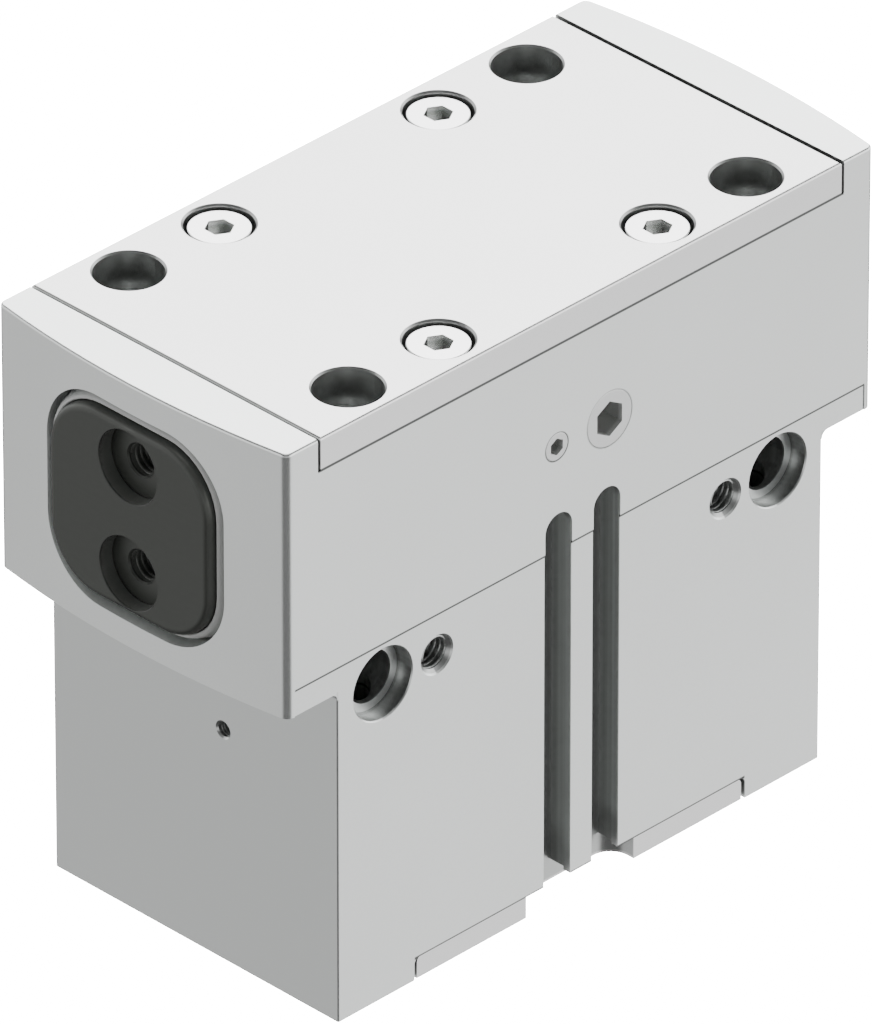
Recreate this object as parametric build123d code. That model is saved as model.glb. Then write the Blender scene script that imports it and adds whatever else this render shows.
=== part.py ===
from build123d import *
import os
from math import cos, radians, sin, tan

# A sealed pneumatic parallel gripper, in millimetres.
# X is the jaws' travel, Y the depth with the sensor slots facing -Y, Z points up.
# The origin is the centre of the bottom mounting face.

# Motion
JAW_STROKE = 10.0
WEDGE_ANGLE = 32.0

# Clearances
SLIDE_FIT = 0.05
LOOSE_GAP = 0.3
THREAD_FIT = 0.02

# How far a cut runs past the face it opens in
PAST = 1.0

# Housing outline in plan
UPPER_LENGTH = 122.0
END_BULGE = 2.4
SIDE_WALL = 11.6
LOWER_LENGTH = 101.5
FACE_STEP = 0.15
CORNER_RADIUS = 1.4
EDGE_RADIUS = 0.45
LOWER_CORNER_RADIUS = 0.3
OVERHANG_FILLET = 1.2

# Heights, stacked from the bottom up
BOTTOM_PLATE_THICKNESS = 3.8
CAP_THICKNESS = 8.0
BUMPER_PROUD = 0.5
PISTON_HEIGHT = 12.0
CLAMP_DISC_HEIGHT = 4.5
PARTITION_THICKNESS = 15.0
OPENING_FLOOR_RISE = 1.0
WALL_OVER_OPENING = 4.9
WALL_UNDER_OPENING = 4.3
STEP_LINE_RISE = 4.4

# Jaws and their opening
JAW_WIDTH = 33.2
JAW_HEIGHT = 32.2
JAW_CORNER = 9.7
LINER_WALL = 1.8
LINER_CROWN = 2.0
JAW_PROUD = 0.6
JAW_EDGE_RADIUS = 1.1
JAW_CENTRE_GAP = 1.0
JAW_BORE_RADIUS = 6.0
JAW_BORE_CHAMFER = 0.12
JAW_BORE_DEPTH = 2.7
JAW_BORE_SPACING = 18.3
JAW_THREAD_DEPTH = 12.0
JAW_THREAD_CHAMFER = 0.25
JAW_THREAD_RADIUS = 2.6
TRANSIT_CLEARANCE = 0.4

# Wiper and seal in each opening
LIP_SETBACK = 0.9
LIP_LENGTH = 2.7
LIP_EDGE = 0.35
LIP_GAP = 0.15
LIP_GROOVE = 0.5
WIPER_BASE = 1.0
SEAL_RING_LENGTH = 2.5

# Wedge hook
WEDGE_HEIGHT = 19.0
WEDGE_TOP_HALF = 4.0
WEDGE_DEPTH = 22.0
NECK_WIDTH = 10.0
NECK_HEIGHT = 3.2
HOOK_WIDTH = 18.0
HOOK_THICKNESS = 4.0
HOOK_GAP = 0.1
WEDGE_FLOOR_GAP = 0.7
WEDGE_SHAFT_GAP = 1.2
WEDGE_SIDE_GAP = 1.0
SHAFT_CORNER = 3.0
PIN_RADIUS = 2.0
PIN_RISE = 5.0
PIN_SHORTER = 1.0

# Cylinder, piston and rod
BORE_RADIUS = 22.0
PISTON_GAP = 0.15
PISTON_CHAMFER = 2.0
ROD_RADIUS = 7.0
SPIGOT_RADIUS = 5.0
SPIGOT_LENGTH = 9.0
SPIGOT_IN_PISTON = 4.0
PISTON_SCREW_RADIUS = 3.0
PISTON_SCREW_HEAD_RADIUS = 5.0
PISTON_SCREW_HEAD = 5.0
PISTON_SCREW_GRIP = 10.0
PISTON_SOCKET_ACROSS_FLATS = 5.0
PISTON_SOCKET_DEPTH = 2.5
MAGNET_WALL = 3.4
MAGNET_WIDTH = 6.0
MAGNET_HEIGHT = 4.0
RING_DEPTH = 2.2
SEAL_HEIGHT = 2.4
GUIDE_RING_HEIGHT = 2.6
LAND = 1.0
BUMPER_WIDTH = 6.0
BUMPER_EDGE = 2.5
BUMPER_SEAT = 1.0
SEAL_POCKET_RADIUS = 12.0
SEAL_POCKET_DEPTH = 6.0
RETAINER_HEIGHT = 1.2
RETAINER_INSET = 0.2
RETAINER_GROOVE = 0.6
RETAINER_WIDTH = 5.0
BUSH_WALL = 2.0

# Top cover
PLATE_EDGE_THICKNESS = 5.45
SPINE_HEIGHT = 2.25
SPINE_MARGIN = 0.8
PLATE_END_WALL = 6.3
PLATE_GAP = 0.55
SPINE_FIT = 0.1
SEAL_CORD_WIDTH = 1.4
SEAL_CORD_HEIGHT = 1.0
SEAL_CORD_MARGIN = 0.8
SEAL_CORD_CORNER = 4.0
DOWEL_RADIUS = 2.0
DOWEL_LENGTH = 7.0
DOWEL_Y = 24.0

# Screws and holes in the top
COVER_SCREW_X = 22.75
HOLE_ROW_MARGIN = 7.25
SCREW_RADIUS = 3.0
SCREW_HEAD_RADIUS = 4.85
SCREW_HEAD_HEIGHT = 3.4
SCREW_RECESS = 0.6
SCREW_LENGTH = 14.0
SOCKET_ACROSS_FLATS = 4.0
SOCKET_DEPTH = 2.6
SCREW_EDGE = 0.25
SCREW_SPIN = 30.0
TAP_EXTRA = 1.0
COUNTERBORE_RADIUS = 5.4
COUNTERBORE_DEPTH = 6.4
HOLE_CHAMFER = 0.3
MOUNT_HOLE_X = 41.35
MOUNT_HOLE_RADIUS = 3.2
SEAT_RADIUS = 5.0
SEAT_DEPTH = 2.2

# Front face
FRONT_BORE_DROP = 2.6
FRONT_BORE_RADIUS = 6.0
FRONT_BORE_DEPTH = 2.9
FRONT_BORE_CHAMFER = 0.2
CROSS_HOLE_RADIUS = 4.35
FRONT_THREAD_X = 30.2
FRONT_THREAD_DEPTH = 12.0
THREAD_CORE_RADIUS = 2.6
THREAD_CHAMFER = 0.78
PLUG_X = 5.5
PLUG_RADIUS = 4.7
PLUG_LENGTH = 8.0
PLUG_ACROSS_FLATS = 5.2
PLUG_SOCKET_DEPTH = 5.0
PLUG_EDGE = 0.15
PLUG_SPIN = 0.0
PLUG_DUCT_RADIUS = 2.5
SET_SCREW_RADIUS = 2.35
SET_SCREW_LENGTH = 6.0
SET_SCREW_ACROSS_FLATS = 2.5
SET_SCREW_SOCKET_DEPTH = 3.0
SET_SCREW_DUCT_RADIUS = 1.0

# Sensor slots
SLOT_X = 5.05
SLOT_WIDTH = 5.6
SLOT_LIP = 1.4
SLOT_CAVITY_WIDTH = 7.0
SLOT_DEPTH = 4.8
SLOT_TOP_RISE = 7.9

# End face and back face
SMALL_THREAD_RADIUS = 1.25
SMALL_THREAD_DEPTH = 7.0
SMALL_THREAD_CHAMFER = 0.3
SMALL_THREAD_Y = 6.0
SMALL_THREAD_DROP = 17.2
PORT_RADIUS = 4.3
PORT_DEPTH = 6.5
PORT_DUCT_RADIUS = 1.2
PORT_DUCT_INSET = 1.3
PORT_CHAMFER = 0.4

# Bottom cover
CHANNEL_LENGTH = 69.8
CHANNEL_GAP = 0.65
CHANNEL_CORNER = 1.0
PLATE_SETBACK = 0.15
NOTCH_SIDE_MARGIN = 2.8
NOTCH_BACK_MARGIN = 0.2
NOTCH_CORNER = 3.6
BOTTOM_SCREW_X = 29.0
BOTTOM_SCREW_Y = 20.0
BOTTOM_SCREW_RADIUS = 2.0
BOTTOM_SCREW_HEAD_RADIUS = 3.75
BOTTOM_SCREW_LENGTH = 12.0
BOTTOM_SCREW_SUNK = 0.1
BOTTOM_SOCKET_ACROSS_FLATS = 2.5
BOTTOM_SOCKET_DEPTH = 1.4

# Cylinder cap seal
CAP_FIT = 0.02
O_RING_SECTION = 0.95
O_RING_GROOVE_WIDTH = 2.6

# Worked out from the sizes above
WEDGE_SLOPE = tan(radians(WEDGE_ANGLE))
PISTON_STROKE = JAW_STROKE / WEDGE_SLOPE
CAP_TOP = BOTTOM_PLATE_THICKNESS + CAP_THICKNESS
PISTON_BOTTOM = CAP_TOP + BUMPER_PROUD + LOOSE_GAP
DISC_BOTTOM = PISTON_BOTTOM + PISTON_HEIGHT
DISC_TOP = DISC_BOTTOM + CLAMP_DISC_HEIGHT
BORE_TOP = DISC_TOP + PISTON_STROKE + BUMPER_PROUD + LOOSE_GAP
CHAMBER_FLOOR = BORE_TOP + PARTITION_THICKNESS
OPENING_WIDTH = JAW_WIDTH + 2 * LINER_WALL
DEPTH = OPENING_WIDTH + 2 * SIDE_WALL
OPENING_HEIGHT = JAW_HEIGHT + 2 * LINER_CROWN
OPENING_CORNER = JAW_CORNER + LINER_WALL
OPENING_BOTTOM = CHAMBER_FLOOR + OPENING_FLOOR_RISE
JAW_AXIS = OPENING_BOTTOM + OPENING_HEIGHT / 2
OPENING_TOP = OPENING_BOTTOM + OPENING_HEIGHT
HEIGHT = OPENING_TOP + WALL_OVER_OPENING
UNDERSIDE = OPENING_BOTTOM - WALL_UNDER_OPENING
STEP_LINE = UNDERSIDE + STEP_LINE_RISE
PLATE_BOTTOM = HEIGHT - PLATE_EDGE_THICKNESS
SPINE_TOP = PLATE_BOTTOM + SPINE_HEIGHT
HOLE_ROW_Y = DEPTH / 2 - HOLE_ROW_MARGIN
FRONT_BORE_Z = UNDERSIDE - FRONT_BORE_DROP
SMALL_THREAD_Z = UNDERSIDE - SMALL_THREAD_DROP
LOWER_FACE_Y = DEPTH / 2 - FACE_STEP
END_X = UPPER_LENGTH / 2 + END_BULGE
PLATE_POCKET_X = UPPER_LENGTH / 2 - PLATE_END_WALL
JAW_FACE_X = END_X + JAW_PROUD
LIP_TIP_X = END_X - LIP_SETBACK
WIPER_FRONT_X = LIP_TIP_X - LIP_LENGTH
WIPER_BACK_X = WIPER_FRONT_X - WIPER_BASE
LINER_FRONT_X = WIPER_BACK_X - SEAL_RING_LENGTH
WEDGE_BOTTOM_HALF = WEDGE_TOP_HALF + WEDGE_HEIGHT * WEDGE_SLOPE
CHAMBER_HALF = WEDGE_BOTTOM_HALF + WEDGE_SHAFT_GAP
WEDGE_BOTTOM = CHAMBER_FLOOR + WEDGE_FLOOR_GAP
WEDGE_TOP = WEDGE_BOTTOM + WEDGE_HEIGHT
HOOK_BOTTOM = JAW_AXIS - JAW_HEIGHT / 2 + LOOSE_GAP
RAMP_REACH = 2 * JAW_HEIGHT
SHAFT_HALF_Y = WEDGE_DEPTH / 2 + WEDGE_SIDE_GAP
SPINE_WIDTH = 2 * (SHAFT_HALF_Y + SEAL_CORD_MARGIN + SEAL_CORD_WIDTH + SPINE_MARGIN)
PISTON_RADIUS = BORE_RADIUS - PISTON_GAP
BUMPER_RADIUS = BORE_RADIUS - BUMPER_EDGE
BUMPER_HEIGHT = BUMPER_SEAT + BUMPER_PROUD
POCKET_TOP = BORE_TOP + SEAL_POCKET_DEPTH
RETAINER_BOTTOM = BORE_TOP + RETAINER_INSET
RETAINER_TOP = RETAINER_BOTTOM + RETAINER_HEIGHT
SPIGOT_FOOT = DISC_BOTTOM - SPIGOT_IN_PISTON
PISTON_SCREW_SEAT = PISTON_BOTTOM + PISTON_SCREW_HEAD + LOOSE_GAP
LOWER_SEAL_Z = PISTON_BOTTOM + PISTON_CHAMFER + LAND
GUIDE_RING_Z = LOWER_SEAL_Z + SEAL_HEIGHT + LAND
MAGNET_RADIUS = PISTON_RADIUS - MAGNET_WALL
LOWER_PORT_Z = CAP_TOP + PORT_DUCT_INSET
UPPER_PORT_Z = BORE_TOP - PORT_DUCT_INSET
SCREW_SEAT = HEIGHT - SCREW_RECESS - SCREW_HEAD_HEIGHT


def upright(radius, z_from, z_to, x=0.0, y=0.0):
    """A round bar along Z between two heights."""
    return Pos(x, y, (z_from + z_to) / 2) * Cylinder(radius, abs(z_to - z_from))


def across(radius, y_from, y_to, x, z):
    """A round bar along Y."""
    return Pos(x, (y_from + y_to) / 2, z) * Rot(90, 0, 0) * Cylinder(radius, abs(y_to - y_from))


def along(radius, x_from, x_to, y, z):
    """A round bar along X."""
    return Pos((x_from + x_to) / 2, y, z) * Rot(0, 90, 0) * Cylinder(radius, abs(x_to - x_from))


def block(x_from, x_to, y_from, y_to, z_from, z_to):
    """A box given by its faces."""
    size = (x_to - x_from, y_to - y_from, z_to - z_from)
    return Pos((x_from + x_to) / 2, (y_from + y_to) / 2, (z_from + z_to) / 2) * Box(*size)


def ring(outer, inner, z_from, z_to):
    """A plain ring about the cylinder axis."""
    return upright(outer, z_from, z_to) - upright(inner, z_from - PAST, z_to + PAST)


def entry_cone(radius, chamfer, centre, way):
    """The cone that breaks the edge of a round hole; way points out of the hole."""
    mouth = Plane(origin=centre, z_dir=way) * Pos(0, 0, -chamfer / 2)
    return mouth * Cone(radius, radius + chamfer, chamfer)


def hexagon(across_flats, depth, centre, way, spin=0.0):
    """The hollow of a hexagon socket whose mouth is at centre; way points out of it."""
    outline = Rot(0, 0, spin) * RegularPolygon(across_flats / 2, 6, major_radius=False)
    return extrude(Plane(origin=centre, z_dir=way) * outline, -depth)


def jaw_bar(width, height, corner, x_from, x_to):
    """A bar with the jaw's rounded-square section, between two places along X."""
    start = Plane(origin=(x_from, 0, JAW_AXIS), x_dir=(0, 1, 0), z_dir=(1, 0, 0))
    return extrude(start * RectangleRounded(width, height, corner), x_to - x_from)


def jaw_sleeve(gap, x_from, x_to):
    """The jaw's section, wider by a gap all round."""
    return jaw_bar(JAW_WIDTH + 2 * gap, JAW_HEIGHT + 2 * gap, JAW_CORNER + gap, x_from, x_to)


def opening_bar(x_from, x_to):
    """The section of the opening in the end wall."""
    return jaw_bar(OPENING_WIDTH, OPENING_HEIGHT, OPENING_CORNER, x_from, x_to)


def both_ends(shape):
    """A shape and its mirror image at the other end."""
    return shape + mirror(shape, about=Plane.YZ)


def four_places(x, y):
    """The corners of a rectangle about the centre."""
    return [(x, y), (-x, y), (-x, -y), (x, -y)]


def upper_block():
    """The wide jaw housing with its bulging ends and small edge radii."""
    half_x = UPPER_LENGTH / 2
    half_y = DEPTH / 2
    outline = [
        ThreePointArc((half_x, -half_y), (END_X, 0), (half_x, half_y)),
        Line((half_x, half_y), (-half_x, half_y)),
        ThreePointArc((-half_x, half_y), (-END_X, 0), (-half_x, -half_y)),
        Line((-half_x, -half_y), (half_x, -half_y)),
    ]
    solid = Pos(0, 0, UNDERSIDE) * extrude(make_face(outline), HEIGHT - UNDERSIDE)
    solid = fillet(solid.edges().filter_by(Axis.Z), CORNER_RADIUS)
    return fillet(solid.faces().sort_by(Axis.Z)[-1].edges(), EDGE_RADIUS)


def sensor_slot(x):
    """A T-shaped slot for a sensor, open at the bottom and round at the top."""
    face = -LOWER_FACE_Y
    top = UNDERSIDE + SLOT_TOP_RISE
    half = SLOT_WIDTH / 2
    half_cavity = SLOT_CAVITY_WIDTH / 2
    lip = face + SLOT_LIP
    back = face + SLOT_DEPTH
    slot = block(x - half, x + half, -DEPTH, back, -PAST, top)
    slot += across(half, -DEPTH, back, x, top)
    slot += block(x - half_cavity, x + half_cavity, lip, back, -PAST, top)
    return slot + across(half_cavity, lip, back, x, top)


def seal_cord_face(width):
    """The racetrack of the cover seal, as wide as given, in plan."""
    half_x = CHAMBER_HALF + SEAL_CORD_MARGIN + SEAL_CORD_WIDTH / 2
    half_y = SHAFT_HALF_Y + SEAL_CORD_MARGIN + SEAL_CORD_WIDTH / 2
    outer = RectangleRounded(2 * half_x + width, 2 * half_y + width, SEAL_CORD_CORNER + width / 2)
    inner = RectangleRounded(2 * half_x - width, 2 * half_y - width, SEAL_CORD_CORNER - width / 2)
    return outer - inner


def mount_holes():
    """The four through-holes for mounting bolts, with their deep counterbores."""
    cut = Part()
    for x, y in four_places(MOUNT_HOLE_X, HOLE_ROW_Y):
        cut += upright(MOUNT_HOLE_RADIUS, -PAST, HEIGHT + PAST, x, y)
        cut += upright(COUNTERBORE_RADIUS, HEIGHT - COUNTERBORE_DEPTH, HEIGHT + PAST, x, y)
    return cut


def wedge_ramp(width, off_from, off_to):
    """A bar that runs up the slanted flank of the wedge at the +X end, between two distances off it."""
    slope = radians(WEDGE_ANGLE)
    up = (-sin(slope), 0, cos(slope))
    flank = Plane(origin=(WEDGE_TOP_HALF, 0, WEDGE_TOP), x_dir=(0, -1, 0), z_dir=up)
    section = flank * Pos(0, (off_from + off_to) / 2) * Rectangle(width, off_to - off_from)
    return extrude(section, RAMP_REACH, both=True)


def housing():
    half_x = LOWER_LENGTH / 2
    lower = block(-half_x, half_x, -LOWER_FACE_Y, LOWER_FACE_Y, 0, UNDERSIDE)
    lower = fillet(lower.edges().filter_by(Axis.Z), LOWER_CORNER_RADIUS)
    body = upper_block()
    step_x = UPPER_LENGTH / 2 - CORNER_RADIUS
    for side in (-1, 1):
        inner, outer = sorted((side * LOWER_FACE_Y, side * DEPTH))
        body -= block(-step_x, step_x, inner, outer, 0, STEP_LINE)
    body += lower
    web = block(half_x - LOWER_CORNER_RADIUS, half_x + OVERHANG_FILLET, -LOWER_FACE_Y, LOWER_FACE_Y,
                UNDERSIDE - OVERHANG_FILLET, UNDERSIDE)
    web -= across(OVERHANG_FILLET, -DEPTH, DEPTH, half_x + OVERHANG_FILLET, UNDERSIDE - OVERHANG_FILLET)
    body += both_ends(web)

    # Seat of the cover plate, with the spine that centres it and the groove of its seal
    seat = block(-PLATE_POCKET_X, PLATE_POCKET_X, -DEPTH, DEPTH, PLATE_BOTTOM, HEIGHT + PAST)
    half_spine = SPINE_WIDTH / 2
    spine = block(-PLATE_POCKET_X, PLATE_POCKET_X, -half_spine, half_spine, PLATE_BOTTOM, SPINE_TOP)
    body -= seat - spine
    cord_groove = extrude(seal_cord_face(SEAL_CORD_WIDTH), SEAL_CORD_HEIGHT + PAST)
    body -= Pos(0, 0, SPINE_TOP - SEAL_CORD_HEIGHT) * cord_groove

    # Jaw bores from both ends, joined in the middle, and the shaft for the wedge
    body -= both_ends(opening_bar(CHAMBER_HALF, END_X + PAST))
    body -= jaw_sleeve(TRANSIT_CLEARANCE, -CHAMBER_HALF - PAST, CHAMBER_HALF + PAST)
    shaft = block(-CHAMBER_HALF, CHAMBER_HALF, -SHAFT_HALF_Y, SHAFT_HALF_Y, CHAMBER_FLOOR, HEIGHT)
    body -= fillet(shaft.edges().filter_by(Axis.Z), SHAFT_CORNER)

    # Cylinder bore, partition with rod bush, rod seal and upper bumper seats
    body -= upright(BORE_RADIUS, -PAST, BORE_TOP)
    body -= upright(SEAL_POCKET_RADIUS, BORE_TOP - PAST, POCKET_TOP)
    body -= upright(SEAL_POCKET_RADIUS + RETAINER_GROOVE, RETAINER_BOTTOM, RETAINER_TOP)
    body -= upright(ROD_RADIUS + BUSH_WALL, POCKET_TOP - PAST, CHAMBER_FLOOR + PAST)
    body -= ring(BUMPER_RADIUS, BUMPER_RADIUS - BUMPER_WIDTH, BORE_TOP - PAST, BORE_TOP + BUMPER_SEAT)

    # Channel of the bottom plate with rounded top corners
    channel_half = CHANNEL_LENGTH / 2
    channel = block(-channel_half, channel_half, -DEPTH, DEPTH, -PAST, BOTTOM_PLATE_THICKNESS)
    body -= fillet(channel.faces().sort_by(Axis.Z)[-1].edges().filter_by(Axis.Y), CHANNEL_CORNER)
    for x, y in four_places(BOTTOM_SCREW_X, BOTTOM_SCREW_Y):
        body -= upright(BOTTOM_SCREW_RADIUS + THREAD_FIT, 0, BOTTOM_SCREW_LENGTH + TAP_EXTRA, x, y)

    # Holes in the top
    body -= mount_holes()
    for x, y in four_places(COVER_SCREW_X, HOLE_ROW_Y):
        body -= upright(SCREW_RADIUS + THREAD_FIT, SCREW_SEAT - SCREW_LENGTH - TAP_EXTRA, HEIGHT, x, y)
    for side in (-1, 1):
        body -= upright(DOWEL_RADIUS, PLATE_BOTTOM - DOWEL_LENGTH / 2, HEIGHT, 0, side * DOWEL_Y)
    for x, y in ((MOUNT_HOLE_X, HOLE_ROW_Y), (-MOUNT_HOLE_X, -HOLE_ROW_Y)):
        body -= upright(SEAT_RADIUS, -PAST, SEAT_DEPTH, x, y)

    # Cross holes with a seat at the front and back, and the threaded holes beside them in front
    for side in (-1, 1):
        x = side * MOUNT_HOLE_X
        body -= across(CROSS_HOLE_RADIUS, -DEPTH, DEPTH, x, FRONT_BORE_Z)
        for face in (-1, 1):
            wall = face * LOWER_FACE_Y
            body -= across(FRONT_BORE_RADIUS, wall - face * FRONT_BORE_DEPTH, face * DEPTH, x, FRONT_BORE_Z)
            body -= entry_cone(FRONT_BORE_RADIUS, FRONT_BORE_CHAMFER, (x, wall, FRONT_BORE_Z), (0, face, 0))
        x = side * FRONT_THREAD_X
        wall = -LOWER_FACE_Y
        body -= across(THREAD_CORE_RADIUS, wall + FRONT_THREAD_DEPTH, -DEPTH, x, FRONT_BORE_Z)
        body -= entry_cone(THREAD_CORE_RADIUS, THREAD_CHAMFER, (x, wall, FRONT_BORE_Z), (0, -1, 0))

    # Purge plug and set screw with their ducts into the jaw chamber
    front = -DEPTH / 2
    chamber_wall = -JAW_WIDTH / 2
    body -= across(PLUG_RADIUS, -DEPTH, front + PLUG_LENGTH, PLUG_X, JAW_AXIS)
    body -= across(PLUG_DUCT_RADIUS, front, chamber_wall, PLUG_X, JAW_AXIS)
    body -= across(SET_SCREW_RADIUS, -DEPTH, front + SET_SCREW_LENGTH, -PLUG_X, JAW_AXIS)
    body -= across(SET_SCREW_DUCT_RADIUS, front, chamber_wall, -PLUG_X, JAW_AXIS)

    # Sensor slots, end-face threads and air ports
    for side in (-1, 1):
        body -= sensor_slot(side * SLOT_X)
        wall = side * LOWER_LENGTH / 2
        floor = wall - side * SMALL_THREAD_DEPTH
        mouth = (wall, -SMALL_THREAD_Y, SMALL_THREAD_Z)
        body -= along(SMALL_THREAD_RADIUS, floor, side * LOWER_LENGTH, -SMALL_THREAD_Y, SMALL_THREAD_Z)
        body -= entry_cone(SMALL_THREAD_RADIUS, SMALL_THREAD_CHAMFER, mouth, (side, 0, 0))
    for z in (LOWER_PORT_Z, UPPER_PORT_Z):
        body -= across(PORT_RADIUS, LOWER_FACE_Y - PORT_DEPTH, DEPTH, 0, z)
        body -= entry_cone(PORT_RADIUS, PORT_CHAMFER, (0, LOWER_FACE_Y, z), (0, 1, 0))
        body -= across(PORT_DUCT_RADIUS, 0, LOWER_FACE_Y, 0, z)
    return body


def top_cover_plate():
    half_x = PLATE_POCKET_X - PLATE_GAP
    plate = block(-half_x, half_x, -DEPTH / 2, DEPTH / 2, PLATE_BOTTOM, HEIGHT)
    plate = fillet(plate.faces().sort_by(Axis.Z)[-1].edges(), EDGE_RADIUS)
    half_channel = SPINE_WIDTH / 2 + SPINE_FIT
    plate -= block(-DEPTH, DEPTH, -half_channel, half_channel, PLATE_BOTTOM - PAST, SPINE_TOP)
    plate -= mount_holes()
    for x, y in four_places(MOUNT_HOLE_X, HOLE_ROW_Y):
        plate -= entry_cone(COUNTERBORE_RADIUS, HOLE_CHAMFER, (x, y, HEIGHT), (0, 0, 1))
    for x, y in four_places(COVER_SCREW_X, HOLE_ROW_Y):
        plate -= upright(COUNTERBORE_RADIUS, SCREW_SEAT, HEIGHT + PAST, x, y)
        plate -= entry_cone(COUNTERBORE_RADIUS, HOLE_CHAMFER, (x, y, HEIGHT), (0, 0, 1))
        plate -= upright(SCREW_RADIUS + LOOSE_GAP, PLATE_BOTTOM - PAST, HEIGHT, x, y)
    pin_top = PLATE_BOTTOM + DOWEL_LENGTH / 2
    for side in (-1, 1):
        plate -= upright(DOWEL_RADIUS, PLATE_BOTTOM - PAST, pin_top, 0, side * DOWEL_Y)
    return plate


def top_cover_screws():
    screws = []
    top = HEIGHT - SCREW_RECESS
    for x, y in four_places(COVER_SCREW_X, HOLE_ROW_Y):
        head = upright(SCREW_HEAD_RADIUS, SCREW_SEAT, top, x, y)
        head = fillet(head.edges().sort_by(Axis.Z)[-1], SCREW_EDGE)
        screw = head + upright(SCREW_RADIUS, SCREW_SEAT - SCREW_LENGTH, SCREW_SEAT, x, y)
        screw -= hexagon(SOCKET_ACROSS_FLATS, SOCKET_DEPTH, (x, y, top), (0, 0, 1), SCREW_SPIN)
        screws.append(screw)
    return Compound(children=screws)


def top_cover_seal():
    cord = extrude(seal_cord_face(SEAL_CORD_WIDTH), SEAL_CORD_HEIGHT)
    return Pos(0, 0, SPINE_TOP - SEAL_CORD_HEIGHT) * cord


def cover_dowel_pins():
    low = PLATE_BOTTOM - DOWEL_LENGTH / 2
    pins = [upright(DOWEL_RADIUS, low, low + DOWEL_LENGTH, 0, side * DOWEL_Y) for side in (-1, 1)]
    return Compound(children=pins)


def bottom_cover_plate():
    half_x = CHANNEL_LENGTH / 2 - CHANNEL_GAP
    half_y = LOWER_FACE_Y - PLATE_SETBACK
    plate = block(-half_x, half_x, -half_y, half_y, 0, BOTTOM_PLATE_THICKNESS)
    plate = fillet(plate.faces().sort_by(Axis.Z)[-1].edges().filter_by(Axis.Y), CHANNEL_CORNER)
    notch_half = SLOT_X + SLOT_CAVITY_WIDTH / 2 + NOTCH_SIDE_MARGIN
    notch_back = -LOWER_FACE_Y + SLOT_DEPTH + NOTCH_BACK_MARGIN
    notch = block(-notch_half, notch_half, -DEPTH, notch_back, -PAST, BOTTOM_PLATE_THICKNESS + PAST)
    plate -= fillet(notch.faces().sort_by(Axis.Y)[-1].edges().filter_by(Axis.Z), NOTCH_CORNER)
    for x, y in four_places(BOTTOM_SCREW_X, BOTTOM_SCREW_Y):
        plate -= upright(BOTTOM_SCREW_RADIUS + LOOSE_GAP, -PAST, BOTTOM_PLATE_THICKNESS + PAST, x, y)
        plate -= countersink(x, y)
        plate -= upright(BOTTOM_SCREW_HEAD_RADIUS, -PAST, BOTTOM_SCREW_SUNK, x, y)
    return plate


def countersink(x, y):
    """The 90 degree cone under a countersunk head."""
    tall = BOTTOM_SCREW_HEAD_RADIUS - BOTTOM_SCREW_RADIUS
    cone = Cone(BOTTOM_SCREW_HEAD_RADIUS, BOTTOM_SCREW_RADIUS, tall)
    return Pos(x, y, BOTTOM_SCREW_SUNK + tall / 2) * cone


def bottom_cover_screws():
    screws = []
    for x, y in four_places(BOTTOM_SCREW_X, BOTTOM_SCREW_Y):
        shank = upright(BOTTOM_SCREW_RADIUS, BOTTOM_SCREW_SUNK, BOTTOM_SCREW_LENGTH, x, y)
        screw = countersink(x, y) + shank
        mouth = (x, y, BOTTOM_SCREW_SUNK)
        screw -= hexagon(BOTTOM_SOCKET_ACROSS_FLATS, BOTTOM_SOCKET_DEPTH, mouth, (0, 0, -1))
        screws.append(screw)
    return Compound(children=screws)


def cylinder_cap():
    cap = upright(BORE_RADIUS - CAP_FIT, BOTTOM_PLATE_THICKNESS, CAP_TOP)
    middle = BOTTOM_PLATE_THICKNESS + CAP_THICKNESS / 2
    floor = BORE_RADIUS - 2 * (O_RING_SECTION + CAP_FIT)
    half_groove = O_RING_GROOVE_WIDTH / 2
    cap -= ring(BORE_RADIUS + PAST, floor, middle - half_groove, middle + half_groove)
    return cap - ring(BUMPER_RADIUS, BUMPER_RADIUS - BUMPER_WIDTH, CAP_TOP - BUMPER_SEAT, CAP_TOP + PAST)


def cylinder_cap_o_ring():
    centre_line = BORE_RADIUS - CAP_FIT - O_RING_SECTION
    return Pos(0, 0, BOTTOM_PLATE_THICKNESS + CAP_THICKNESS / 2) * Torus(centre_line, O_RING_SECTION)


def bumper(z_from):
    return ring(BUMPER_RADIUS, BUMPER_RADIUS - BUMPER_WIDTH, z_from, z_from + BUMPER_HEIGHT)


def rod_bush():
    return ring(ROD_RADIUS + BUSH_WALL, ROD_RADIUS + SLIDE_FIT, POCKET_TOP, CHAMBER_FLOOR)


def rod_seal():
    return ring(SEAL_POCKET_RADIUS, ROD_RADIUS + SLIDE_FIT, RETAINER_TOP, POCKET_TOP)


def seal_retaining_ring():
    outer = SEAL_POCKET_RADIUS + RETAINER_GROOVE
    return ring(outer, outer - RETAINER_WIDTH, RETAINER_BOTTOM, RETAINER_TOP)


def guide_liner():
    liner = opening_bar(CHAMBER_HALF, LINER_FRONT_X)
    return liner - jaw_sleeve(SLIDE_FIT, CHAMBER_HALF - PAST, LINER_FRONT_X + PAST)


def jaw_seal_ring():
    seal = opening_bar(LINER_FRONT_X, WIPER_BACK_X)
    return seal - jaw_sleeve(SLIDE_FIT, LINER_FRONT_X - PAST, WIPER_BACK_X + PAST)


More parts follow.
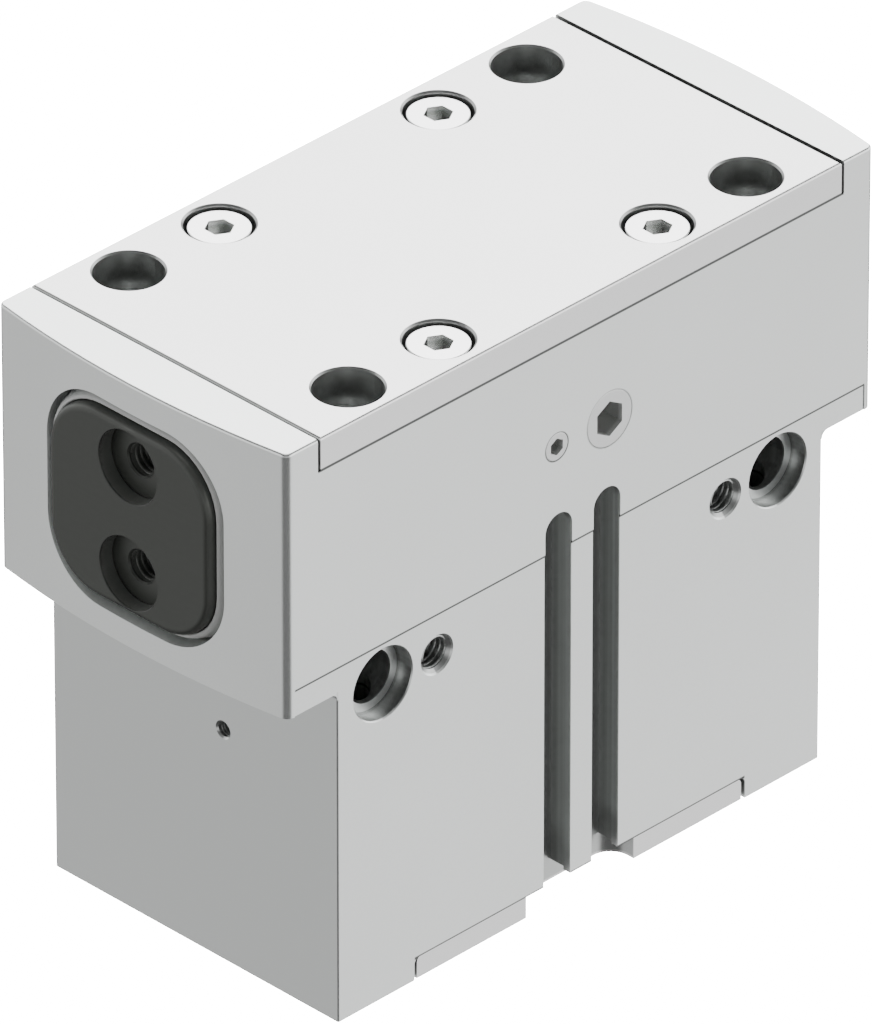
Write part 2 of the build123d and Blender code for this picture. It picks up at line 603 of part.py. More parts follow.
def jaw_wiper():
    """The lip ring: a flat base in the opening and a lip that tapers onto the jaw."""
    base = opening_bar(WIPER_BACK_X, WIPER_FRONT_X)
    foot = Plane(origin=(WIPER_FRONT_X, 0, JAW_AXIS), x_dir=(0, 1, 0), z_dir=(1, 0, 0))
    tip = Plane(origin=(LIP_TIP_X, 0, JAW_AXIS), x_dir=(0, 1, 0), z_dir=(1, 0, 0))
    edge = LIP_GAP + LIP_EDGE
    root_width = OPENING_WIDTH - 2 * LIP_GROOVE
    root_height = OPENING_HEIGHT - 2 * LIP_GROOVE
    root = RectangleRounded(root_width, root_height, OPENING_CORNER - LIP_GROOVE)
    end = RectangleRounded(JAW_WIDTH + 2 * edge, JAW_HEIGHT + 2 * edge, JAW_CORNER + edge)
    lip = loft([foot * root, tip * end])
    return base + lip - jaw_sleeve(LIP_GAP, WIPER_BACK_X - PAST, LIP_TIP_X + PAST)


def front_plug(radius, length, across_flats, socket_depth, x):
    """A flush screw plug in the front face."""
    front = -DEPTH / 2
    plug = across(radius - THREAD_FIT, front, front + length, x, JAW_AXIS)
    plug = fillet(plug.edges().sort_by(Axis.Y)[0], PLUG_EDGE)
    return plug - hexagon(across_flats, socket_depth, (x, front, JAW_AXIS), (0, -1, 0), PLUG_SPIN)


def purge_plug():
    return front_plug(PLUG_RADIUS, PLUG_LENGTH, PLUG_ACROSS_FLATS, PLUG_SOCKET_DEPTH, PLUG_X)


def lube_set_screw():
    length = SET_SCREW_LENGTH
    return front_plug(SET_SCREW_RADIUS, length, SET_SCREW_ACROSS_FLATS, SET_SCREW_SOCKET_DEPTH, -PLUG_X)


def jaw():
    """The jaw at the +X end, with its slanted T-slot for the hook."""
    body = jaw_sleeve(0, JAW_CENTRE_GAP, JAW_FACE_X)
    body = fillet(body.faces().sort_by(Axis.X)[-1].edges(), JAW_EDGE_RADIUS)
    body -= wedge_ramp(2 * JAW_WIDTH, -RAMP_REACH, LOOSE_GAP)
    body -= wedge_ramp(NECK_WIDTH + 2 * HOOK_GAP, 0, NECK_HEIGHT)
    hook_top = NECK_HEIGHT + HOOK_THICKNESS
    body -= wedge_ramp(HOOK_WIDTH + 2 * HOOK_GAP, NECK_HEIGHT - HOOK_GAP, hook_top + HOOK_GAP)
    for side in (-1, 1):
        z = JAW_AXIS + side * JAW_BORE_SPACING / 2
        floor = JAW_FACE_X - JAW_BORE_DEPTH
        body -= along(JAW_BORE_RADIUS, floor, JAW_FACE_X + PAST, 0, z)
        body -= entry_cone(JAW_BORE_RADIUS, JAW_BORE_CHAMFER, (JAW_FACE_X, 0, z), (1, 0, 0))
        body -= along(JAW_THREAD_RADIUS, floor - JAW_THREAD_DEPTH, floor + PAST, 0, z)
        body -= entry_cone(JAW_THREAD_RADIUS, JAW_THREAD_CHAMFER, (floor, 0, z), (1, 0, 0))
    return body


def wedge_hook():
    low = [(-WEDGE_BOTTOM_HALF, WEDGE_BOTTOM), (WEDGE_BOTTOM_HALF, WEDGE_BOTTOM)]
    high = [(WEDGE_TOP_HALF, WEDGE_TOP), (-WEDGE_TOP_HALF, WEDGE_TOP)]
    core = extrude(Plane.XZ * make_face(Polyline(*low, *high, close=True)), WEDGE_DEPTH / 2, both=True)
    hooks = both_ends(wedge_ramp(NECK_WIDTH, -NECK_HEIGHT / 2, NECK_HEIGHT + HOOK_THICKNESS / 2)
                      + wedge_ramp(HOOK_WIDTH, NECK_HEIGHT, NECK_HEIGHT + HOOK_THICKNESS))
    core += hooks & block(-DEPTH, DEPTH, -DEPTH, DEPTH, HOOK_BOTTOM, WEDGE_TOP)
    core -= upright(SPIGOT_RADIUS, WEDGE_BOTTOM - PAST, WEDGE_BOTTOM + SPIGOT_LENGTH)
    return core - across(PIN_RADIUS, -DEPTH, DEPTH, 0, WEDGE_BOTTOM + PIN_RISE)


def wedge_pin():
    half = (WEDGE_DEPTH - PIN_SHORTER) / 2
    return across(PIN_RADIUS, -half, half, 0, WEDGE_BOTTOM + PIN_RISE)


def piston_rod():
    rod = upright(ROD_RADIUS, DISC_TOP, WEDGE_BOTTOM)
    rod += upright(SPIGOT_RADIUS, SPIGOT_FOOT, DISC_TOP)
    rod += upright(SPIGOT_RADIUS, WEDGE_BOTTOM, WEDGE_BOTTOM + SPIGOT_LENGTH)
    tap_end = SPIGOT_FOOT + PISTON_SCREW_GRIP + TAP_EXTRA
    rod -= upright(PISTON_SCREW_RADIUS + THREAD_FIT, SPIGOT_FOOT - PAST, tap_end)
    return rod - across(PIN_RADIUS, -DEPTH, DEPTH, 0, WEDGE_BOTTOM + PIN_RISE)


def groove(z_from, height):
    """An outer groove in the piston or its disc."""
    return ring(BORE_RADIUS + PAST, PISTON_RADIUS - RING_DEPTH, z_from, z_from + height)


def piston_ring(z_from, height):
    """A seal or guide ring that fills such a groove and meets the bore."""
    return ring(BORE_RADIUS - SLIDE_FIT, PISTON_RADIUS - RING_DEPTH, z_from, z_from + height)


def piston():
    body = upright(PISTON_RADIUS, PISTON_BOTTOM, DISC_BOTTOM)
    body = chamfer(body.edges().sort_by(Axis.Z)[0], PISTON_CHAMFER)
    body -= groove(LOWER_SEAL_Z, SEAL_HEIGHT)
    body -= groove(GUIDE_RING_Z, GUIDE_RING_HEIGHT)
    magnet_inner = MAGNET_RADIUS - MAGNET_WIDTH
    body -= ring(MAGNET_RADIUS, magnet_inner, DISC_BOTTOM - MAGNET_HEIGHT, DISC_BOTTOM + PAST)
    body -= upright(SPIGOT_RADIUS, SPIGOT_FOOT, DISC_BOTTOM + PAST)
    body -= upright(PISTON_SCREW_RADIUS + LOOSE_GAP, PISTON_BOTTOM - PAST, DISC_BOTTOM)
    return body - upright(PISTON_SCREW_HEAD_RADIUS + LOOSE_GAP, PISTON_BOTTOM - PAST, PISTON_SCREW_SEAT)


def piston_clamp_disc():
    disc = upright(PISTON_RADIUS, DISC_BOTTOM, DISC_TOP)
    disc = chamfer(disc.edges().sort_by(Axis.Z)[-1], PISTON_CHAMFER)
    disc -= groove(DISC_BOTTOM, SEAL_HEIGHT)
    return disc - upright(SPIGOT_RADIUS, DISC_BOTTOM - PAST, DISC_TOP + PAST)


def piston_magnet():
    return ring(MAGNET_RADIUS, MAGNET_RADIUS - MAGNET_WIDTH, DISC_BOTTOM - MAGNET_HEIGHT, DISC_BOTTOM)


def piston_screw():
    low = PISTON_SCREW_SEAT - PISTON_SCREW_HEAD
    screw = upright(PISTON_SCREW_HEAD_RADIUS, low, PISTON_SCREW_SEAT)
    screw += upright(PISTON_SCREW_RADIUS, PISTON_SCREW_SEAT, SPIGOT_FOOT + PISTON_SCREW_GRIP)
    return screw - hexagon(PISTON_SOCKET_ACROSS_FLATS, PISTON_SOCKET_DEPTH, (0, 0, low), (0, 0, -1))


def left(shape):
    """The mirror image of a piece, for the other end."""
    return mirror(shape, about=Plane.YZ)


pieces = {
    "housing": housing(),
    "top_cover_plate": top_cover_plate(),
    "top_cover_screws": top_cover_screws(),
    "top_cover_seal": top_cover_seal(),
    "cover_dowel_pins": cover_dowel_pins(),
    "bottom_cover_plate": bottom_cover_plate(),
    "bottom_cover_screws": bottom_cover_screws(),
    "cylinder_cap": cylinder_cap(),
    "cylinder_cap_o_ring": cylinder_cap_o_ring(),
    "lower_bumper": bumper(CAP_TOP - BUMPER_SEAT),
    "upper_bumper": bumper(BORE_TOP - BUMPER_PROUD),
    "rod_bush": rod_bush(),
    "rod_seal": rod_seal(),
    "seal_retaining_ring": seal_retaining_ring(),
    "guide_liner_right": guide_liner(),
    "guide_liner_left": left(guide_liner()),
    "jaw_seal_ring_right": jaw_seal_ring(),
    "jaw_seal_ring_left": left(jaw_seal_ring()),
    "jaw_wiper_right": jaw_wiper(),
    "jaw_wiper_left": left(jaw_wiper()),
    "purge_plug": purge_plug(),
    "lube_set_screw": lube_set_screw(),
    "jaw_right": jaw(),
    "jaw_left": left(jaw()),
    "wedge_hook": wedge_hook(),
    "wedge_pin": wedge_pin(),
    "piston_rod": piston_rod(),
    "piston": piston(),
    "piston_clamp_disc": piston_clamp_disc(),
    "piston_magnet": piston_magnet(),
    "piston_seal_lower": piston_ring(LOWER_SEAL_Z, SEAL_HEIGHT),
    "piston_guide_ring": piston_ring(GUIDE_RING_Z, GUIDE_RING_HEIGHT),
    "piston_seal_upper": piston_ring(DISC_BOTTOM, SEAL_HEIGHT),
    "piston_screw": piston_screw(),
}

os.makedirs("parts", exist_ok=True)
for name, shape in pieces.items():
    export_step(shape, f"parts/{name}.step")
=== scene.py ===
import bpy
from math import cos, pi, radians, sin
from mathutils import Matrix, Vector


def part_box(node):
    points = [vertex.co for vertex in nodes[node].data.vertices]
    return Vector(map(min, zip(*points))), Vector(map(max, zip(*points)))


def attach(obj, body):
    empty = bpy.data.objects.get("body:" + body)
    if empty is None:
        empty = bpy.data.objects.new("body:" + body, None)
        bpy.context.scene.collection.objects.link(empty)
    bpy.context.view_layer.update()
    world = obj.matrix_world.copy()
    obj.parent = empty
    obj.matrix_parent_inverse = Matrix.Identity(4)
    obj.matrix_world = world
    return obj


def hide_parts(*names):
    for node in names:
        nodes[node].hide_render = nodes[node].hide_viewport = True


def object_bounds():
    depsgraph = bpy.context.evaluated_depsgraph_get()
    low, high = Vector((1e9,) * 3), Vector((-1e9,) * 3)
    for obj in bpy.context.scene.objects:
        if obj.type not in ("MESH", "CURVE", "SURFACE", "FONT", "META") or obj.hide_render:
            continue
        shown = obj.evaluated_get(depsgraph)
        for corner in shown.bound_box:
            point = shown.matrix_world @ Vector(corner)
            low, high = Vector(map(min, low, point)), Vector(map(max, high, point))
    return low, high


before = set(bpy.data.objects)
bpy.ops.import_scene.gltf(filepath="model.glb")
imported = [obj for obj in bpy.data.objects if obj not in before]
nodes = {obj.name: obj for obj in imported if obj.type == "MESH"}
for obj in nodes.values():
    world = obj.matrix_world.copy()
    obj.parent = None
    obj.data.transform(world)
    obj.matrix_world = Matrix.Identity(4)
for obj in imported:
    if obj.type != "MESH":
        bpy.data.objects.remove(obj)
cad_low, cad_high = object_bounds()


# Camera
# A long lens far away, at the angle the gripper is seen from: over its left front corner.
# The picture is 872 by 1024 points, and the lens is shifted a little off its middle.
MM = 0.001
PICTURE_HEIGHT = 1024
AZIMUTH = radians(-45.04)
ELEVATION = radians(32.325)
DISTANCE = 3181.84 * MM
FOCAL_POINTS = 21481.8
AIM = Vector((0, 0, 51.57 * MM))
MIDDLE_OFF_RIGHT = 2.49
MIDDLE_OFF_DOWN = 7.39
SENSOR = 36.0

camera_data = bpy.data.cameras.new("camera")
camera_data.sensor_width = SENSOR
camera_data.lens = FOCAL_POINTS * SENSOR / PICTURE_HEIGHT
camera_data.shift_x = -MIDDLE_OFF_RIGHT / PICTURE_HEIGHT
camera_data.shift_y = MIDDLE_OFF_DOWN / PICTURE_HEIGHT
camera_data.clip_end = 3 * DISTANCE
camera = bpy.data.objects.new("camera", camera_data)
back = Vector((sin(AZIMUTH) * cos(ELEVATION), -cos(AZIMUTH) * cos(ELEVATION), sin(ELEVATION)))
camera.location = AIM + DISTANCE * back
camera.rotation_mode = "QUATERNION"
camera.rotation_quaternion = (-back).to_track_quat("-Z", "Y")
bpy.context.scene.collection.objects.link(camera)
bpy.context.scene.camera = camera


# Studio light
# A dark room with a tall soft panel to the right and one to the left of the camera, dimmer
# in their lower halves, a bright one behind the gripper, one overhead, and low fill strips.
FRONT_PANEL = (0.707, -0.707, 0)
END_PANEL = (-0.707, 0.707, 0)
FRONT_STRENGTH = 2.70
END_STRENGTH = 1.45
SIDE_RIM = 0.57  # the cosine at which a panel's light begins
SIDE_CORE = 0.76  # and the one from which it is full
DIM_BELOW = -0.38
FULL_ABOVE = 0.02
TOP_RIM = 0.42
TOP_END = 0.68
LOWER_SHARE = 0.5
BACK_PANEL = (0.60, 0.60, 0.53)
BACK_RIM = 0.84
BACK_CORE = 0.955
BACK_STRENGTH = 5.2
FILL_SIDES = ((-0.707, -0.707, 0), (0.707, 0.707, 0))
FILL_BELOW = -0.38
FILL_FROM = -0.27
FILL_TO = 0.05
FILL_ABOVE = 0.25
FILL_STRENGTH = 0.85
OVERHEAD_RIM = 0.90
OVERHEAD_CORE = 0.975
OVERHEAD_STRENGTH = 1.7
ROOM_GLOW = 0.06
WHITE = (1, 1, 1, 1)


class Field:
    """A socket of a node tree that takes part in sums, and makes the nodes that it needs."""

    def __init__(self, tree, socket):
        self.tree = tree
        self.socket = socket

    def node(self, kind, settings=None, inputs=None):
        """Adds a node with its settings, then the values or links of its sockets."""
        made = self.tree.nodes.new(kind)
        for key, value in (settings or {}).items():
            setattr(made, key, value)
        for key, value in (inputs or {}).items():
            socket = made.inputs[key]
            if isinstance(value, Field):
                self.tree.links.new(value.socket, socket)
            elif socket.type == "RGBA":
                socket.default_value = (*value, 1)
            else:
                socket.default_value = value
        return made

    def math(self, operation, a, b):
        """The outcome of a sum of two values."""
        made = self.node("ShaderNodeMath", {"operation": operation}, {0: a, 1: b})
        return Field(self.tree, made.outputs[0])

    def __add__(self, other):
        return self.math("ADD", self, other)

    __radd__ = __add__

    def __mul__(self, other):
        return self.math("MULTIPLY", self, other)

    __rmul__ = __mul__

    def __sub__(self, other):
        return self.math("SUBTRACT", self, other)

    def __rsub__(self, other):
        return self.math("SUBTRACT", other, self)

    def __abs__(self):
        return self.math("ABSOLUTE", self, 0)

    def least(self, other):
        """The smaller of the two."""
        return self.math("MINIMUM", self, other)

    def dot(self, direction):
        """How far this points along a direction."""
        made = self.node("ShaderNodeVectorMath", {"operation": "DOT_PRODUCT"}, {0: self, 1: direction})
        return Field(self.tree, made.outputs["Value"])

    def ramp(self, low, high):
        """Nought below low, one above high, smooth between."""
        inputs = {"Value": self, "From Min": low, "From Max": high}
        settings = {"interpolation_type": "SMOOTHSTEP"}
        return Field(self.tree, self.node("ShaderNodeMapRange", settings, inputs).outputs["Result"])

    def mix(self, first, second):
        """The first colour where this is nought, the second where it is one."""
        mixer = self.node("ShaderNodeMix", {"data_type": "RGBA"}, {"Factor": self, 6: first, 7: second})
        return Field(self.tree, mixer.outputs[2])


world = bpy.data.worlds.new("studio")
world.use_nodes = True
room = world.node_tree
sight = Field(room, room.nodes.new("ShaderNodeTexCoord").outputs["Generated"])
up = sight.dot((0, 0, 1))
rise = LOWER_SHARE + (1 - LOWER_SHARE) * up.ramp(DIM_BELOW, FULL_ABOVE)
rise = rise * (1 - up.ramp(TOP_RIM, TOP_END))
strip = up.ramp(FILL_BELOW, FILL_FROM) * (1 - up.ramp(FILL_TO, FILL_ABOVE)) * FILL_STRENGTH
glow = sight.dot(Vector(BACK_PANEL).normalized()).ramp(BACK_RIM, BACK_CORE) * BACK_STRENGTH + ROOM_GLOW
glow = up.ramp(OVERHEAD_RIM, OVERHEAD_CORE) * OVERHEAD_STRENGTH + glow
for where, strength in ((FRONT_PANEL, FRONT_STRENGTH), (END_PANEL, END_STRENGTH)):
    glow = sight.dot(where).ramp(SIDE_RIM, SIDE_CORE) * rise * strength + glow
for where in FILL_SIDES:
    glow = sight.dot(where).ramp(SIDE_RIM, SIDE_CORE) * strip + glow
room.links.new(glow.socket, room.nodes["Background"].inputs["Strength"])
room.nodes["Background"].inputs["Color"].default_value = WHITE
bpy.context.scene.world = world


# Floor
# A pale sheet of studio paper and a round backdrop of the same, lit so evenly that both
# are nearly white and hold no shadow.
FLOOR_HALF = 4.0
FLOOR_DROP = 0.2 * MM
FLOOR_GLOW = 24.0
FLOOR_GREY = (0.86, 0.86, 0.86, 1)


def start_piece(name):
    """Names the primitive that was just added, and returns it."""
    piece = bpy.context.object
    piece.name = name
    return piece


def settle(piece):
    """Puts a piece's place into its mesh, so that the object sits at the origin."""
    bpy.ops.object.select_all(action="DESELECT")
    piece.select_set(True)
    bpy.context.view_layer.objects.active = piece
    bpy.ops.object.transform_apply(location=True, rotation=True, scale=True)


paper = bpy.data.materials.new("studio_paper")
paper.use_nodes = True
paper_shader = paper.node_tree.nodes["Principled BSDF"]
paper_shader.inputs["Base Color"].default_value = FLOOR_GREY
paper_shader.inputs["Roughness"].default_value = 1.0
paper_shader.inputs["Specular IOR Level"].default_value = 0.0
paper_shader.inputs["Emission Color"].default_value = WHITE
paper_shader.inputs["Emission Strength"].default_value = FLOOR_GLOW

bpy.ops.object.select_all(action="DESELECT")
bpy.ops.mesh.primitive_plane_add(size=2 * FLOOR_HALF, location=(0, 0, -FLOOR_DROP))
floor = start_piece("floor")
bpy.ops.object.select_all(action="DESELECT")
bpy.ops.mesh.primitive_cylinder_add(
    radius=FLOOR_HALF * 2 ** 0.5, depth=2 * FLOOR_HALF, end_fill_type="NOTHING")
backdrop = start_piece("backdrop")
for sheet in (floor, backdrop):
    settle(sheet)
    sheet.visible_glossy = False
    sheet.visible_diffuse = False
    sheet.visible_shadow = False
    sheet.data.materials.append(paper)


# Housing and cover plates
# Milled aluminium, bead blasted and clear anodised: a pale, matt, slightly satin grey.
# The covers are milled from the same bar; joint lines are darker, and bores, slots and the lower end faces
# under the overhang carry painted shade.
HOUSING_GREY = (0.800, 0.822, 0.811)
OVERHANG_SHADE_GREY = (0.640, 0.658, 0.649)
COVER_GREY = (0.82, 0.822, 0.82)
BORE_SHADE_GREY = (0.51, 0.523, 0.516)
SEAM_GREY = (0.10, 0.103, 0.10)
METAL_SHARE = 0.9
BLAST_GRAIN = 2600
GRAIN_RELIEF = 0.18
GRAIN_DEPTH = 0.02 * MM
SATIN = 0.27
SATIN_SPREAD = 0.06
CLOUDS = 28
CLOUD_SHARE = 0.6
CLOUD_RANGE = (0.3, 0.7)
CLOUD_DARK = 0.975
CLOUD_LIGHT = 1.02
STREAKS = 700
STREAK_STRETCH = (1, 1, 0.004)
STREAK_RANGE = (0.35, 0.65)
STREAK_DARK = 0.90
STREAK_LIGHT = 1.12
# Under each face a pale skin this deep is left; deeper in, bores and slots get painted shade.
SKIN = 0.35 * MM
SKIN_SOFT = 0.12 * MM
SEAM_HALF = 0.17 * MM
SEAM_SOFT = 0.12 * MM
SEAM_DEPTH = 0.18 * MM
TOP_DEPTH_GAIN = 9.0  # a gain above one thins the pale skin under a face
END_DEPTH_GAIN = 0.1  # and one below one thickens it
END_BULGE = 2.4 * MM
JAW_PROUD = 0.6 * MM
LOWER_HALF_LENGTH = 50.75 * MM
OVERHANG_HEIGHT = 57.6033 * MM
STEP_HEIGHT = 62.0033 * MM
PLATE_GAP = 0.55 * MM
CHANNEL_GAP = 0.65 * MM
CORNER_RADIUS = 1.4 * MM
SEAT_PLACE = (41.35 * MM, 55.0033 * MM)
SEAT_REACH = 7.0 * MM
SEAT_FLOOR = 3.1 * MM
SEAT_SHADE_LIFT = 0.6
SEAT_GROOVE = 5.85 * MM
SEAT_CORNER_SHADE = 0.6
PLUG_HEIGHT = 80.0033 * MM
PLUG_LINE = 0.12 * MM
PLUG_RING = (5.5 * MM, 4.7 * MM, 0.45)  # its middle, its radius and how dark it is
SET_SCREW_RING = (-5.5 * MM, 2.35 * MM, 0.9)
half_depth = cad_high.y
height = cad_high.z
plate_low, plate_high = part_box("top_cover_plate")
channel_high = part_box("bottom_cover_plate")[1]


class Finish:
    """A material with its shader and the patterns that finishes are mixed from."""

    def __init__(self, name, **sockets):
        self.material = bpy.data.materials.new(name)
        self.material.use_nodes = True
        self.tree = self.material.node_tree
        self.shader = self.tree.nodes["Principled BSDF"]
        self.place = Field(self.tree, self.tree.nodes.new("ShaderNodeTexCoord").outputs["Object"])
        parts = self.place.node("ShaderNodeSeparateXYZ", None, {0: self.place}).outputs
        self.x, self.y, self.z = (Field(self.tree, part) for part in parts)
        self.set(**sockets)

    def set(self, **sockets):
        """Sets the shader's sockets, a name such as base_color standing for Base Color."""
        for key, value in sockets.items():
            socket = self.shader.inputs[key.replace("_", " ").title()]
            if isinstance(value, Field):
                self.tree.links.new(value.socket, socket)
            else:
                socket.default_value = (*value, 1) if socket.type == "RGBA" else value

    def noise(self, scale, detail=2.0, stretch=None):
        """Soft random spots, so many to the metre, centred on a half."""
        place = self.place
        if stretch:
            mapping = self.place.node("ShaderNodeMapping", None, {"Vector": self.place, "Scale": stretch})
            place = Field(self.tree, mapping.outputs["Vector"])
        inputs = {"Vector": place, "Scale": scale, "Detail": detail}
        return Field(self.tree, self.place.node("ShaderNodeTexNoise", None, inputs).outputs["Fac"])

    def bump(self, relief, strength, depth):
        """Roughens the surface by a relief."""
        inputs = {"Height": relief, "Strength": strength, "Distance": depth}
        normal = self.place.node("ShaderNodeBump", None, inputs).outputs["Normal"]
        self.tree.links.new(normal, self.shader.inputs["Normal"])


def dress(finish, *names):
    """Gives carried-over pieces their finish."""
    for name in names:
        nodes[name].data.materials.clear()
        nodes[name].data.materials.append(finish.material)


def inside(*depths):
    """One deeper than the skin under every face that a depth is given from, nought on the skin: where
    painted shade goes in bores and slots.
    """
    nearest = depths[0]
    for depth in depths[1:]:
        nearest = nearest.least(depth)
    return nearest.ramp(SKIN, SKIN + SKIN_SOFT)


def seam(finish, seam_height, half_length):
    """One on the joint line at a height along the front and back, nought elsewhere."""
    line = 1 - abs(finish.z - seam_height).ramp(SEAM_HALF, SEAM_HALF + SEAM_SOFT)
    wall = abs(finish.y).ramp(half_depth - SEAM_DEPTH - SEAM_SOFT, half_depth - SEAM_DEPTH)
    return line * wall * (1 - abs(finish.x).ramp(half_length - SEAM_SOFT, half_length))


def within(across, up, radius, edge):
    """One inside a round of a radius, nought outside it, from the distances to its middle."""
    return 1 - (across * across + up * up).ramp((radius - edge) ** 2, (radius + edge) ** 2)


def round_line(across, up, radius, width):
    """One on the thin line round a circle, nought elsewhere."""
    return within(across, up, radius + width, width) * (1 - within(across, up, radius - width, width))


def shades(pattern, grey, dark, light):
    """A grey that a pattern carries from its dark share to its light share."""
    return pattern.mix([dark * part for part in grey], [light * part for part in grey])


def anodised(name, grey):
    """Blasted and anodised aluminium: its material and its colour, before painted shade is mixed in."""
    finish = Finish(name, metallic=METAL_SHARE)
    grain = finish.noise(BLAST_GRAIN)
    clouds = CLOUD_SHARE * finish.noise(CLOUDS, detail=3) + (1 - CLOUD_SHARE) * grain
    finish.set(roughness=SATIN + SATIN_SPREAD * grain)
    finish.bump(grain, GRAIN_RELIEF, GRAIN_DEPTH)
    return finish, shades(clouds.ramp(*CLOUD_RANGE), grey, CLOUD_DARK, CLOUD_LIGHT)


anodised_housing, colour = anodised("anodised_housing", HOUSING_GREY)
x, y, z = anodised_housing.x, anodised_housing.y, anodised_housing.z
end_x = cad_high.x - JAW_PROUD
away = y * (1 / half_depth)
end_depth = end_x - END_BULGE * away * away - abs(x)
# Painted shade: the lower end faces under the overhang are made a shade darker.
lower_end = abs(x).ramp(LOWER_HALF_LENGTH - SKIN, LOWER_HALF_LENGTH)
lower_end = lower_end * (1 - z.ramp(OVERHANG_HEIGHT, OVERHANG_HEIGHT + SKIN))
overhang_shade = lower_end * (1 - abs(x).ramp(LOWER_HALF_LENGTH, LOWER_HALF_LENGTH + SKIN))
colour = overhang_shade.mix(colour, OVERHANG_SHADE_GREY)
# Painted shade: bores and slots darken below the pale skin, less of it in the shallow front seats.
bore_shade = inside(half_depth - abs(y), END_DEPTH_GAIN * end_depth, TOP_DEPTH_GAIN * (height - z), z)
bore_shade = bore_shade * (1 - lower_end)
aside, above = abs(x) - SEAT_PLACE[0], z - SEAT_PLACE[1]
seats = within(aside, above, SEAT_REACH, SKIN)
seats = seats * abs(y).ramp(half_depth - SEAT_FLOOR - SKIN, half_depth - SEAT_FLOOR)
bore_shade = bore_shade * (1 - SEAT_SHADE_LIFT * seats)
streaks = anodised_housing.noise(STREAKS, stretch=STREAK_STRETCH).ramp(*STREAK_RANGE)
colour = bore_shade.mix(colour, shades(streaks, BORE_SHADE_GREY, STREAK_DARK, STREAK_LIGHT))
lines = (seam(anodised_housing, plate_low.z, plate_high.x + PLATE_GAP)
         + seam(anodised_housing, channel_high.z, channel_high.x + CHANNEL_GAP)
         + seam(anodised_housing, STEP_HEIGHT, end_x - END_BULGE - CORNER_RADIUS))
# A dark line round the corner of each front seat's floor: a relief groove with painted shade in the corner.
lines = lines + SEAT_CORNER_SHADE * round_line(aside, above, SEAT_GROOVE, PLUG_LINE)
front = (0 - y).ramp(half_depth - SKIN, half_depth - 0.5 * SKIN)
for middle, radius, shade in (PLUG_RING, SET_SCREW_RING):
    lines = lines + shade * round_line(x - middle, z - PLUG_HEIGHT, radius, PLUG_LINE) * front
anodised_housing.set(base_color=lines.mix(colour, SEAM_GREY))
dress(anodised_housing, "housing")

anodised_cover, colour = anodised("anodised_cover", COVER_GREY)
y, z = anodised_cover.y, anodised_cover.z
# Painted shade in the cover's bores, below its pale skin.
bore_shade = inside(half_depth - abs(y), TOP_DEPTH_GAIN * (height - z), z)
lines = seam(anodised_cover, plate_low.z, height) + seam(anodised_cover, channel_high.z, height)
anodised_cover.set(base_color=lines.mix(bore_shade.mix(colour, BORE_SHADE_GREY), SEAM_GREY))
dress(anodised_cover, "top_cover_plate", "bottom_cover_plate")


# Jaws
# Hardened steel, ground all over and burnished to a dark, faintly olive grey. The two
# counterbores in each face centre a gripper finger, which screws into the threads.
JAW_DARK = (0.057, 0.061, 0.055)
JAW_FLANK_DARK = (0.10, 0.105, 0.097)
JAW_WALL_DARK = (0.22, 0.229, 0.216)
JAW_ROUGHNESS = 0.42
JAW_METAL_SHARE = 0.4
JAW_EDGE = 0.3 * SKIN
JAW_SEAT_EDGE = 0.2 * SKIN
JAW_SEAT_RADIUS = 6.4 * MM
JAW_SEAT_FLOOR = 2.6 * MM
JAW_THREAD_RADIUS = 3.1 * MM
JAW_AXIS = 80.0033 * MM
JAW_BORE_SPACING = 18.3 * MM
GRIND_LINES = 1800
GRIND_STRETCH = (1, 0.06, 1)
GRIND_RELIEF = 0.1
GRIND_DEPTH = 0.01 * MM
GRIND_SPREAD = 0.08
jaw_face_x = cad_high.x


def ground_steel(name, grey, roughness, metallic=1.0):
    """Steel with fine grinding lines across it."""
    finish = Finish(name, metallic=metallic, base_color=grey)
    grinding = finish.noise(GRIND_LINES, stretch=GRIND_STRETCH)
    finish.set(roughness=roughness - GRIND_SPREAD / 2 + GRIND_SPREAD * grinding)
    finish.bump(grinding, GRIND_RELIEF, GRIND_DEPTH)
    return finish


jaw_steel = ground_steel("jaw_steel", JAW_DARK, JAW_ROUGHNESS, JAW_METAL_SHARE)
depth = jaw_face_x - abs(jaw_steel.x)
above = abs(jaw_steel.z - JAW_AXIS) - JAW_BORE_SPACING / 2
floors = depth.ramp(JAW_SEAT_FLOOR - SKIN_SOFT, JAW_SEAT_FLOOR)
seats = within(jaw_steel.y, above, JAW_SEAT_RADIUS, SKIN)
below = depth.ramp(JAW_SEAT_FLOOR + SKIN, JAW_SEAT_FLOOR + 2 * SKIN)
threads = within(jaw_steel.y, above, JAW_THREAD_RADIUS, SKIN_SOFT) * below
walls = seats * depth.ramp(JAW_SEAT_EDGE, SKIN)
colour = depth.ramp(JAW_EDGE, SKIN).mix(JAW_DARK, JAW_FLANK_DARK)
colour = (seats * floors).mix(walls.mix(colour, JAW_WALL_DARK), JAW_DARK)
jaw_steel.set(base_color=threads.mix(colour, JAW_WALL_DARK))
dress(jaw_steel, "jaw_right", "jaw_left")


